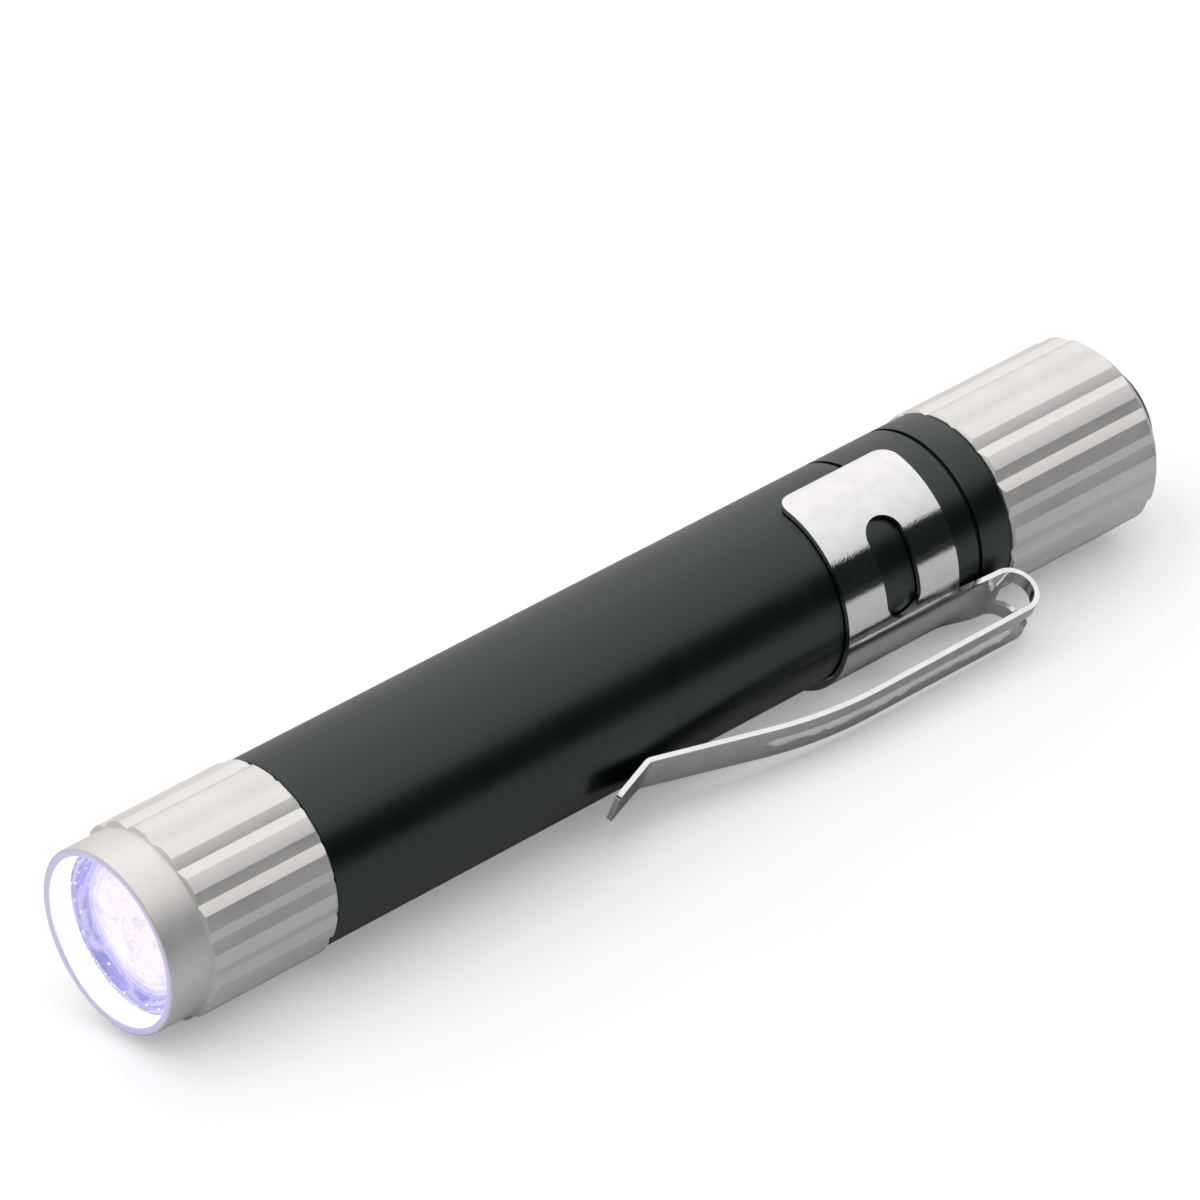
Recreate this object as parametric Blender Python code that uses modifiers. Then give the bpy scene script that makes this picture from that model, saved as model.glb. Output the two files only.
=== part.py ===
"""Ultraviolet counterfeit detector pen: a one-cell pen torch with a pocket clip and a tail switch.

The pen lies on its pocket clip, as it rests on a table: its axis runs along +X with the lamp
at -X, +Z is up and the origin is under the middle of its box. Everything is in metres.
Along the pen, places are measured from the front rim of the lamp head towards the tail.
"""
import math

import bmesh
import bpy
from mathutils import Matrix, Vector

MM = 0.001

# Battery cell, which sets the size of the pen around it
cell_radius = 5.0 * MM
cell_length = 44.5 * MM
cell_nub_radius = 1.9 * MM
cell_nub_height = 1.0 * MM
wrap_wall = 0.15 * MM
cell_bead = 0.4 * MM            # rounding of the can's ends

# Walls and fits
fit_gap = 0.1 * MM              # between pieces that touch or slide
bore_gap = 0.2 * MM             # round the cell
neck_wall = 0.8 * MM            # of the barrel's threaded necks
shoulder = 0.8 * MM             # by which the barrel stands out from its necks
shell_wall = 0.6 * MM           # of the head and the cap, outside their threads
flute_depth = 0.3 * MM
flute_count = 16
flute_share = 0.6               # of the pitch that a flute takes at the crest
head_flute_turn = math.radians(2.25)   # of the head's flutes against the cap's
ring_drop = 0.1 * MM            # by which the plain ring lies under the flutes' floors

# Lamp head
head_length = 14.0 * MM
ring_length = 3.4 * MM          # plain ring in front of the flutes
flute_chamfer = 0.12 * MM
rim_round = 0.15 * MM
rim_wall = 0.5 * MM
front_bore_depth = 3.85 * MM
reflector_seat = 8.4 * MM       # from the rim to the step that the lamp board sits on
reflector_wall = 0.5 * MM
reflector_step = 0.55 * MM      # from the lens's bore down to the reflector's
lens_recess = 1.7 * MM
lens_ring_width = 0.8 * MM
lens_ring_height = 0.7 * MM
lens_height = 1.25 * MM
lens_crown = 0.3 * MM
lamp_board_height = 0.8 * MM
led_radius = 1.7 * MM
led_base_height = 0.7 * MM
led_dome_radius = 1.3 * MM

# Lamp driver, in front of the cell
driver_length = 14.5 * MM
driver_wall = 0.7 * MM
driver_board_size = (7.0 * MM, 0.8 * MM, 9.0 * MM)
driver_chip_size = (3.0 * MM, 1.0 * MM, 3.0 * MM)
driver_coil_radius = 1.6 * MM
driver_coil_height = 1.8 * MM
driver_spread = 2.0 * MM        # from the board's middle to the chip and to the coil
driver_board_inset = 1.0 * MM
pin_radius = 0.8 * MM
pin_collar_height = 0.5 * MM
pin_reach = 2.9 * MM            # from the driver's housing to the cell's nub

# Barrel
tail_neck_length = 5.8 * MM
spring_room = 10.5 * MM         # from the cell's flat end to the end of the tail neck
edge_chamfer = 0.12 * MM
ring_groove_width = 0.35 * MM
ring_groove_depth = 0.25 * MM
ring_groove_places = (3.1 * MM, 9.2 * MM)   # ahead of the tail cap
seal_wire = 0.42 * MM
seal_place = 0.9 * MM           # from the barrel's shoulder to the middle of the seal

# Tail cap and switch
cap_length = 15.0 * MM
cap_wall = 1.2 * MM             # round the button's hole
cap_chamfer = 0.9 * MM
button_hole = 5.1 * MM
thread_length = 6.2 * MM
cap_step = 0.3 * MM             # from the threaded bore down to the switch's
retainer_height = 1.0 * MM
retainer_bore = 4.2 * MM
switch_headroom = 0.1 * MM      # over the plunger's flange at rest
switch_floor = 0.8 * MM
switch_wall = 0.9 * MM
switch_cover_height = 0.7 * MM
plunger_radius = 2.0 * MM
plunger_flange = 3.0 * MM
plunger_flange_height = 0.8 * MM
contact_radius = 2.4 * MM
contact_height = 0.6 * MM
rivet_radius = 0.7 * MM
boot_flange_height = 0.7 * MM
boot_height = 2.9 * MM          # of the dome above the cap's end
boot_edge = 0.35 * MM           # straight side of the dome
button_travel = 1.2 * MM

# Springs
tail_wire = 0.5 * MM
tail_turns = 6.5
tail_spring_radii = (2.4 * MM, 3.6 * MM)
switch_wire = 0.18 * MM
switch_turns = 3.0
switch_spring_radii = (2.3 * MM, 1.0 * MM)   # its turns lie inside each other when it is pressed

# Pocket clip
clip_thickness = 0.45 * MM
band_length = 10.5 * MM
band_place = 5.7 * MM           # from the tail cap to the band
band_half_wrap = math.radians(115.6)
band_corner = 1.3 * MM
slot_width = 3.2 * MM
slot_near = math.radians(18.6)
slot_far = math.radians(78.6)
root_width = 3.7 * MM           # of the arm where it leaves the turn
tip_width = 3.2 * MM
upper_fillet = 0.4 * MM         # where the strip leaves the band, on its upper and its lower side
lower_fillet = 1.5 * MM
turn_flare = 1.35 * MM          # by which the strip's lower side stands out up to the turn
flare_run = 1.6 * MM            # from the turn's middle to where the flare has gone
turn_slot_upper = -0.7 * MM     # sides and ends of the slot through the turn, across and along the strip
turn_slot_lower = 2.0 * MM
turn_slot_narrow = 0.2 * MM     # its lower side where it ends in the arm
turn_slot_start = 1.9 * MM
turn_slot_end = 3.1 * MM
turn_slot_corner = 0.4 * MM
clip_rise = 3.42 * MM           # from the band to the arm, middle to middle
turn_place = 0.05 * MM          # from the outside of the turn to the tail cap
arm_knee = 20.7 * MM            # from the tail cap to where the arm starts to come down
arm_knee_radius = 40.0 * MM
bump_place = 34.8 * MM
bump_radius = 0.9 * MM
tip_place = 38.6 * MM
tip_lift = 1.3 * MM
tip_corner = 0.6 * MM
clip_dip = math.radians(29.8)   # of the clip's arm below the level of the pen's axis

# Facets
ROUND_STEPS = 64
BARREL_STEPS = 48
INNER_STEPS = 32
SMALL_STEPS = 24
BEND_STEPS = 6
COIL_STEPS = 12

# Radii that follow
wrap_radius = cell_radius + wrap_wall + 0.5 * fit_gap
bore_radius = wrap_radius + bore_gap
neck_radius = bore_radius + neck_wall
thread_bore = neck_radius + fit_gap
flute_floor = thread_bore + shell_wall
crest_radius = flute_floor + flute_depth
ring_radius = flute_floor - ring_drop
barrel_radius = neck_radius + shoulder
front_bore = ring_radius - rim_round - rim_wall
reflector_bore = front_bore - reflector_step
cap_bore = thread_bore - cap_step

# Places along the pen that follow
lamp_board_place = reflector_seat + fit_gap
driver_place = lamp_board_place + lamp_board_height + fit_gap
driver_end = driver_place + driver_length
cell_place = driver_end + pin_reach + fit_gap
cell_end = cell_place + cell_length
barrel_end = cell_end + spring_room
cap_place = barrel_end - tail_neck_length + fit_gap
cap_end = cap_place + cap_length
barrel_place = driver_place
pen_length = cap_end + boot_height
retainer_place = cap_place + thread_length + fit_gap
switch_place = retainer_place + retainer_height + fit_gap
switch_height = switch_floor + 2.0 * fit_gap + button_travel + plunger_flange_height + switch_headroom
switch_end = switch_place + switch_height
boot_place = cap_end - cap_wall - fit_gap - boot_flange_height

# Clip sizes that follow
clip_radius = barrel_radius + fit_gap + 0.5 * clip_thickness
band_start = cap_place - band_place - band_length
turn_radius = 0.5 * clip_rise
turn_middle = cap_place - turn_place
knee = cap_place - arm_knee
bump = cap_place - bump_place
tip = cap_place - tip_place


# The pen lies on the clip's band with its axis level and the clip's arm low on its front side
rest_height = clip_radius + 0.5 * clip_thickness
arm_reach = clip_radius + clip_rise + 0.5 * clip_thickness
front_reach = arm_reach * math.cos(clip_dip) + 0.5 * root_width * math.sin(clip_dip)
axis_side = 0.5 * (front_reach - crest_radius)


def clear_scene():
    """Remove what a new file holds."""
    for item in list(bpy.data.objects):
        bpy.data.objects.remove(item, do_unlink=True)


def make_collection(name):
    """A collection in the scene."""
    collection = bpy.data.collections.new(name)
    bpy.context.scene.collection.children.link(collection)
    return collection


def make_material(name, color, roughness, metallic):
    """A plain Principled material."""
    material = bpy.data.materials.new(name)
    material.use_nodes = True
    shader = material.node_tree.nodes["Principled BSDF"]
    shader.inputs["Base Color"].default_value = (*color, 1.0)
    shader.inputs["Roughness"].default_value = roughness
    shader.inputs["Metallic"].default_value = metallic
    return material


def make_empty(name, location, rotation, parent=None):
    """An empty that places the pieces under it."""
    empty = bpy.data.objects.new(name, None)
    parts.objects.link(empty)
    empty.location = location
    empty.rotation_euler = rotation
    empty.parent = parent
    return empty


def place_object(item, material, parent, place, sideways=(0.0, 0.0)):
    """Link a piece and put it on the pen's axis, or beside it."""
    parts.objects.link(item)
    item.data.materials.append(material)
    item.parent = parent
    item.location = (sideways[0], sideways[1], place)
    return item


def arc(center, radius, start, end, steps, squash=1.0):
    """Points of an arc in a profile, angles in degrees from the radial direction."""
    points = []
    for step in range(steps + 1):
        angle = math.radians(start + (end - start) * step / steps)
        points.append((center[0] + radius * math.cos(angle), center[1] + squash * radius * math.sin(angle)))
    return points


def turned(name, profile, material, place, parent=None, steps=ROUND_STEPS):
    """A turned piece: (radius, height) points down its outer side, tail end first."""
    mesh = bpy.data.meshes.new(name)
    last = len(profile) - 1
    edges = [(index, index + 1) for index in range(last)]
    if profile[0][0] > 0.0:
        edges.append((last, 0))
    mesh.from_pydata([(radius, 0.0, height) for radius, height in profile], edges, [])
    piece = place_object(bpy.data.objects.new(name, mesh), material, parent or pen_axis, place)
    screw = piece.modifiers.new("turn", 'SCREW')
    screw.axis = 'Z'
    screw.angle = 2.0 * math.pi
    screw.steps = steps
    screw.render_steps = steps
    screw.use_merge_vertices = True
    screw.merge_threshold = 0.001 * MM
    screw.use_smooth_shade = True
    return piece


def tube_profile(outer, inner, length):
    """Profile of a plain ring or tube."""
    return [(inner, length), (outer, length), (outer, 0.0), (inner, 0.0)]


def rod_profile(radius, length):
    """Profile of a plain disc or rod."""
    return [(0.0, length), (radius, length), (radius, 0.0), (0.0, 0.0)]


def box(name, size, material, place, sideways):
    """A block, its middle beside the pen's axis."""
    mesh = bpy.data.meshes.new(name)
    shape = bmesh.new()
    bmesh.ops.create_cube(shape, size=1.0)
    bmesh.ops.scale(shape, vec=size, verts=shape.verts)
    shape.to_mesh(mesh)
    shape.free()
    return place_object(bpy.data.objects.new(name, mesh), material, pen_axis, place, sideways)


def coil(name, radii, wire, turns, length, material, place, parent):
    """A coil spring whose radius runs evenly from one end to the other."""
    curve = bpy.data.curves.new(name, 'CURVE')
    curve.dimensions = '3D'
    curve.bevel_depth = 0.5 * wire
    curve.bevel_resolution = 1
    curve.use_fill_caps = True
    spline = curve.splines.new('POLY')
    count = int(turns * COIL_STEPS)
    spline.points.add(count)
    for index in range(count + 1):
        share = index / count
        radius = radii[0] + (radii[1] - radii[0]) * share
        angle = 2.0 * math.pi * turns * share
        height = 0.5 * wire + (length - wire) * share
        spline.points[index].co = (radius * math.cos(angle), radius * math.sin(angle), height, 1.0)
    return place_object(bpy.data.objects.new(name, curve), material, parent, place)


def cut_flutes(piece, start, end, first=0.0):
    """Cut the flutes along a turned piece, from one height to another, from a first angle on."""
    pitch = 2.0 * math.pi / flute_count
    half_width = 0.5 * flute_share * pitch * crest_radius
    depth_scale = 1.6
    shape = bmesh.new()
    for index in range(flute_count):
        middle = Vector((flute_floor + depth_scale * flute_depth, 0.0, 0.5 * (start + end)))
        stretch = Matrix.Diagonal((depth_scale * flute_depth, depth_scale * half_width, end - start, 1.0))
        turn = Matrix.Rotation(first + (index + 0.5) * pitch, 4, 'Z')
        bmesh.ops.create_cone(shape, cap_ends=True, segments=4, radius1=1.0, radius2=1.0, depth=1.0,
                              matrix=turn @ Matrix.Translation(middle) @ stretch)
    mesh = bpy.data.meshes.new(piece.name + "_flutes")
    shape.to_mesh(mesh)
    shape.free()
    cutter = bpy.data.objects.new(piece.name + "_flutes", mesh)
    cutters.objects.link(cutter)
    cutter.parent = piece
    cutter.hide_render = True
    cutter.display_type = 'WIRE'
    cut = piece.modifiers.new("flutes", 'BOOLEAN')
    cut.operation = 'DIFFERENCE'
    cut.solver = 'EXACT'
    cut.object = cutter


def rounded(corners, radii, steps, closed):
    """A run of straight lines whose corners are rounded, each to its own radius."""
    points = []
    count = len(corners)
    for index, corner in enumerate(corners):
        radius = radii[index]
        if radius == 0.0 or (not closed and index in (0, count - 1)):
            points.append(Vector(corner))
            continue
        here = Vector(corner)
        back = (Vector(corners[index - 1]) - here).normalized()
        ahead = (Vector(corners[(index + 1) % count]) - here).normalized()
        half = 0.5 * back.angle(ahead)
        middle = here + (back + ahead).normalized() * radius / math.sin(half)
        start = here + back * radius / math.tan(half) - middle
        end = here + ahead * radius / math.tan(half) - middle
        sweep = start.angle_signed(end)
        for step in range(steps + 1):
            turn = Matrix.Rotation(-sweep * step / steps, 2)
            points.append(middle + turn @ start)
    clean = [points[0]]
    for point in points[1:]:
        if (point - clean[-1]).length > 0.01 * MM:
            clean.append(point)
    return clean


def clip_path():
    """The strip's middle line, as (place along the pen, distance from its axis) points."""
    low = clip_radius
    high = clip_radius + clip_rise
    corners = [(band_start, low), (turn_middle, low), (turn_middle, high), (knee, high), (bump, low),
               (tip, low + tip_lift)]
    radii = [0.0, turn_radius, turn_radius, arm_knee_radius, bump_radius, 0.0]
    return rounded(corners, radii, BEND_STEPS, False)


def path_lengths(path):
    """Length along the strip at each of the path's points."""
    lengths = [0.0]
    for before, after in zip(path, path[1:]):
        lengths.append(lengths[-1] + (after - before).length)
    return lengths


def path_normals(path):
    """The side of the strip that faces away from the barrel on the band, at each point."""
    sides = []
    for before, after in zip(path, path[1:]):
        along = (after - before).normalized()
        sides.append(Vector((-along.y, along.x)))
    normals = [sides[0]]
    for before, after in zip(sides, sides[1:]):
        normals.append((before + after).normalized())
    return normals + [sides[-1]]


def bend_point(flat, path, lengths, normals):
    """Bend a point of the flat blank: across, along and through the strip."""
    across, along, through = flat
    index = 0
    while index < len(lengths) - 2 and lengths[index + 1] < along:
        index += 1
    share = (along - lengths[index]) / (lengths[index + 1] - lengths[index])
    middle = path[index].lerp(path[index + 1], share)
    normal = normals[index].lerp(normals[index + 1], share).normalized()
    skin = clip_radius + through * normal.y
    angle = across / clip_radius
    rise = middle.y - clip_radius
    forward = middle.x + through * normal.x
    curved = Vector((rise + skin * math.cos(angle), skin * math.sin(angle), forward))
    return curved.lerp(Vector((rise + skin, across, forward)), flatness(along, lengths[1]))


def flatness(along, turn_start):
    """How flat the strip is across: 0 on the band, which is round, and 1 from the turn on."""
    share = min(max((along - band_length) / (turn_start - band_length), 0.0), 1.0)
    return share * share * (3.0 - 2.0 * share)


def bent_strip(name, outlines, ends, material, origin, bends_at):
    """Bend a flat blank with its holes into a strip, its origin on the joint's axis."""
    curve = bpy.data.curves.new(name, 'CURVE')
    curve.dimensions = '2D'
    curve.fill_mode = 'BOTH'
    curve.extrude = 0.5 * clip_thickness
    for outline in outlines:
        spline = curve.splines.new('POLY')
        spline.points.add(len(outline) - 1)
        spline.use_cyclic_u = True
        for point, place in zip(spline.points, outline):
            point.co = (place[0], place[1], 0.0, 1.0)
    blank = bpy.data.objects.new(name + "_blank", curve)
    parts.objects.link(blank)
    bpy.context.view_layer.update()
    mesh = bpy.data.meshes.new_from_object(blank.evaluated_get(bpy.context.evaluated_depsgraph_get()))
    bpy.data.objects.remove(blank, do_unlink=True)
    shape = bmesh.new()
    shape.from_mesh(mesh)
    bmesh.ops.remove_doubles(shape, verts=shape.verts, dist=0.001 * MM)
    path = clip_path()
    lengths = path_lengths(path)
    normals = path_normals(path)
    flattening = [band_length + step * (lengths[1] - band_length) / 4 for step in range(4)]
    for length in lengths + flattening:
        if ends[0] < length < ends[1]:
            cut_across(shape, (0.0, length, 0.0), (0.0, 1.0, 0.0))
    for angle in bends_at:
        cut_across(shape, (angle * clip_radius, 0.0, 0.0), (1.0, 0.0, 0.0))
    for vertex in shape.verts:
        vertex.co = bend_point(vertex.co, path, lengths, normals) - Vector(origin)
    bmesh.ops.triangulate(shape, faces=shape.faces)
    bmesh.ops.recalc_face_normals(shape, faces=shape.faces)
    shape.to_mesh(mesh)
    shape.free()
    mesh.name = name
    strip = place_object(bpy.data.objects.new(name, mesh), material, clip_axis, origin[2])
    strip.location.x = origin[0]
    return strip


def cut_across(shape, point, normal):
    """Add an edge loop where a flat blank will bend."""
    everything = list(shape.verts) + list(shape.edges) + list(shape.faces)
    bmesh.ops.bisect_plane(shape, geom=everything, dist=0.001 * MM, plane_co=point, plane_no=normal)


def make_head(materials):
    """Lamp head: shell, lens, reflector, lamp and its driver."""
    profile = [(thread_bore, head_length), (crest_radius - edge_chamfer, head_length),
               (crest_radius, head_length - edge_chamfer), (crest_radius, ring_length + flute_chamfer),
               (ring_radius, ring_length)]
    profile += arc((ring_radius - rim_round, rim_round), rim_round, 0.0, -90.0, 3)
    profile += [(front_bore, 0.0), (front_bore, front_bore_depth), (reflector_bore, front_bore_depth),
                (reflector_bore, reflector_seat), (thread_bore, reflector_seat)]
    shell = turned("head_shell", profile, materials["silver"], 0.0)
    cut_flutes(shell, ring_length, head_length + edge_chamfer, head_flute_turn)
    ring_outer = front_bore - 0.5 * fit_gap
    turned("lens_ring", tube_profile(ring_outer, ring_outer - lens_ring_width, lens_ring_height),
           materials["ring"], lens_recess, steps=INNER_STEPS)
    lens_place = lens_recess + lens_ring_height + 0.5 * fit_gap
    lens_radius = front_bore - fit_gap
    lens = [(0.0, lens_height), (lens_radius, lens_height), (lens_radius, 0.0)]
    lens_flat = ring_outer - lens_ring_width - fit_gap
    for step in range(5):
        lens.append((lens_flat * (1.0 - step / 4), -lens_crown * math.sin(0.5 * math.pi * step / 4)))
    turned("lens", lens, materials["lens"], lens_place, steps=INNER_STEPS)
    make_lamp(materials)
    make_driver(materials)
    make_seal("head_seal", head_length + fit_gap - seal_place, materials)


def make_lamp(materials):
    """Reflector, light-emitting diode and the board that carries it."""
    outer = reflector_bore - fit_gap
    length = reflector_seat - front_bore_depth - fit_gap
    throat = led_radius + 2.0 * fit_gap
    profile = [(throat, length), (outer, length), (outer, 0.0)]
    mouth = outer - reflector_wall
    for step in range(7):
        share = step / 7
        profile.append((throat + (mouth - throat) * math.sqrt(1.0 - share), length * share))
    turned("reflector", profile, materials["mirror"], front_bore_depth + fit_gap, steps=INNER_STEPS)
    board_radius = thread_bore - 2.0 * fit_gap
    turned("lamp_board", rod_profile(board_radius, lamp_board_height), materials["board"], lamp_board_place,
           steps=INNER_STEPS)
    dome = arc((0.0, 0.0), led_dome_radius, 0.0, -90.0, 5)
    dome[-1] = (0.0, dome[-1][1])
    led = [(0.0, led_base_height), (led_radius, led_base_height), (led_radius, 0.0)] + dome
    led_place = lamp_board_place - led_base_height - 0.5 * fit_gap
    turned("uv_led", led, materials["led"], led_place, steps=SMALL_STEPS)


def make_driver(materials):
    """Housing behind the lamp board, with the circuit inside and the pin that meets the cell."""
    outer = bore_radius - fit_gap
    inner = outer - driver_wall
    hole = pin_radius + fit_gap
    inside = driver_length - driver_wall
    profile = [(hole, driver_length), (outer, driver_length), (outer, 0.0), (inner, 0.0), (inner, inside),
               (hole, inside)]
    turned("driver_housing", profile, materials["black_plastic"], driver_place, steps=INNER_STEPS)
    board_middle = driver_place + driver_board_inset + 0.5 * driver_board_size[2]
    box("driver_board", driver_board_size, materials["board"], board_middle, (0.0, 0.0))
    chip_side = 0.5 * (driver_board_size[1] + driver_chip_size[1]) + fit_gap
    box("driver_chip", driver_chip_size, materials["black_plastic"], board_middle - driver_spread,
        (0.0, chip_side))
    coil_profile = rod_profile(driver_coil_radius, driver_coil_height)
    coil_shape = turned("driver_coil", coil_profile, materials["ferrite"], board_middle + driver_spread,
                        steps=SMALL_STEPS)
    coil_shape.rotation_euler = (math.radians(90.0), 0.0, 0.0)
    coil_shape.location.y = -0.5 * driver_board_size[1] - fit_gap
    collar = 1.4 * pin_radius
    length = pin_reach + driver_wall + pin_collar_height + 2.0 * fit_gap
    pin = [(0.0, length)] + arc((0.0, length - 0.6 * pin_radius), pin_radius, 80.0, 0.0, 3, 0.6)
    pin += [(pin_radius, pin_collar_height), (collar, pin_collar_height), (collar, 0.0), (0.0, 0.0)]
    turned("contact_pin", pin, materials["brass"], driver_end + pin_reach - length, steps=SMALL_STEPS)


def make_seal(name, place, materials):
    """Rubber O-ring in a groove of the barrel's neck."""
    middle = neck_radius - 0.5 * seal_wire + 0.5 * fit_gap
    profile = arc((middle, 0.0), 0.5 * seal_wire, 90.0, -270.0, 8)[:-1]
    turned(name, profile, materials["rubber"], place, steps=INNER_STEPS)


def seal_groove(middle, forward):
    """Profile of the groove that holds a seal in a neck, tail side first."""
    half = 0.5 * seal_wire + fit_gap
    floor = neck_radius - seal_wire
    groove = [(neck_radius, half), (floor, half), (floor, -half), (neck_radius, -half)]
    return [(radius, middle + forward + height) for radius, height in groove]


def make_barrel(materials):
    """Barrel with a threaded neck at each end and two ring grooves near the tail."""
    front = head_length + fit_gap - barrel_place
    back = barrel_end - tail_neck_length - barrel_place
    length = barrel_end - barrel_place
    profile = [(bore_radius, length), (neck_radius - edge_chamfer, length),
               (neck_radius, length - edge_chamfer)]
    profile += seal_groove(back, seal_place)
    profile += [(neck_radius, back), (barrel_radius - edge_chamfer, back),
                (barrel_radius, back - edge_chamfer)]
    for place in ring_groove_places:
        middle = cap_place - place - barrel_place
        half = 0.5 * ring_groove_width
        floor = barrel_radius - ring_groove_depth
        profile += [(barrel_radius, middle + half), (floor, middle + half), (floor, middle - half),
                    (barrel_radius, middle - half)]
    profile += [(barrel_radius, front + edge_chamfer), (barrel_radius - edge_chamfer, front),
                (neck_radius, front)]
    profile += seal_groove(front, -seal_place)
    profile += [(neck_radius, edge_chamfer), (neck_radius - edge_chamfer, 0.0), (bore_radius, 0.0)]
    turned("barrel", profile, materials["black"], barrel_place, steps=BARREL_STEPS)


def make_cell(materials):
    """Battery cell: its can with the raised end, and the printed wrap round it."""
    can_length = cell_length - cell_nub_height
    profile = [(0.0, cell_length), (cell_radius - cell_bead, cell_length)]
    profile += arc((cell_radius - cell_bead, cell_length - cell_bead), cell_bead, 60.0, 0.0, 2)
    profile += [(cell_radius, cell_nub_height + cell_bead)]
    profile += arc((cell_radius - cell_bead, cell_nub_height + cell_bead), cell_bead, -30.0, -90.0, 2)
    profile += [(cell_nub_radius, cell_nub_height), (cell_nub_radius, 0.0), (0.0, 0.0)]
    turned("battery_can", profile, materials["steel"], cell_place, steps=INNER_STEPS)
    inner = cell_radius + 0.5 * fit_gap
    turned("battery_wrap", tube_profile(inner + wrap_wall, inner, can_length - 2.0 * cell_bead),
           materials["wrap"], cell_place + cell_nub_height + cell_bead, steps=INNER_STEPS)


def make_cap(materials):
    """Tail cap, its switch and the springs behind the cell."""
    hollow = cap_length - cap_wall
    profile = [(button_hole, cap_length), (crest_radius - cap_chamfer, cap_length),
               (crest_radius, cap_length - cap_chamfer), (crest_radius, edge_chamfer),
               (crest_radius - edge_chamfer, 0.0), (thread_bore, 0.0), (thread_bore, thread_length),
               (cap_bore, thread_length), (cap_bore, hollow), (button_hole, hollow)]
    shell = turned("tail_cap", profile, materials["silver"], cap_place)
    cut_flutes(shell, -edge_chamfer, cap_length)
    outer = cap_bore - fit_gap
    turned("retaining_ring", tube_profile(outer, retainer_bore, retainer_height), materials["brass"],
           retainer_place, steps=INNER_STEPS)
    rivet_hole = rivet_radius + fit_gap
    housing = [(outer - switch_wall, switch_height), (outer, switch_height), (outer, 0.0), (rivet_hole, 0.0),
               (rivet_hole, switch_floor), (outer - switch_wall, switch_floor)]
    turned("switch_housing", housing, materials["black_plastic"], switch_place, steps=INNER_STEPS)
    cover_bore = plunger_radius + fit_gap
    turned("switch_cover", tube_profile(outer, cover_bore, switch_cover_height), materials["black_plastic"],
           switch_end + fit_gap, steps=INNER_STEPS)
    rivet_height = contact_height + switch_floor
    contact = [(0.0, rivet_height), (rivet_radius, rivet_height), (rivet_radius, contact_height),
               (contact_radius, contact_height), (contact_radius, 0.0), (0.0, 0.0)]
    contact_place = switch_place - contact_height - fit_gap
    turned("switch_contact", contact, materials["brass"], contact_place, steps=SMALL_STEPS)
    make_button(materials)
    spring_start = cell_end + fit_gap
    spring_end = switch_place - contact_height - 2.0 * fit_gap
    coil("tail_spring", tail_spring_radii, tail_wire, tail_turns, spring_end - spring_start,
         materials["steel"], spring_start, pen_axis)
    make_seal("tail_seal", barrel_end - tail_neck_length + seal_place, materials)


def make_button(materials):
    """Rubber boot, the plunger under it and the plunger's spring."""
    flange_radius = cap_bore - fit_gap
    dome_radius = button_hole - fit_gap
    neck = boot_flange_height + fit_gap + cap_wall
    dome_height = boot_height - boot_edge
    dome = [(dome_radius * math.cos(angle), neck + boot_edge + dome_height * math.sin(angle))
            for angle in (math.radians(90.0 - 15.0 * step) for step in range(1, 7))]
    profile = [(0.0, neck + boot_height)] + dome
    profile += [(dome_radius, boot_flange_height), (flange_radius, boot_flange_height), (flange_radius, 0.0),
                (0.0, 0.0)]
    turned("button_boot", profile, materials["rubber"], boot_place, steps=BARREL_STEPS)
    plunger_place = switch_place + switch_floor + button_travel + 2.0 * fit_gap
    stem = boot_place - fit_gap - plunger_place
    plunger = [(0.0, stem), (plunger_radius, stem), (plunger_radius, plunger_flange_height),
               (plunger_flange, plunger_flange_height), (plunger_flange, 0.0), (0.0, 0.0)]
    turned("switch_plunger", plunger, materials["white_plastic"], plunger_place, steps=SMALL_STEPS)
    floor = switch_place + switch_floor + 0.5 * fit_gap
    coil("switch_spring", switch_spring_radii, switch_wire, switch_turns,
         plunger_place - floor - 0.5 * fit_gap, materials["steel"], floor, pen_axis)


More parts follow.
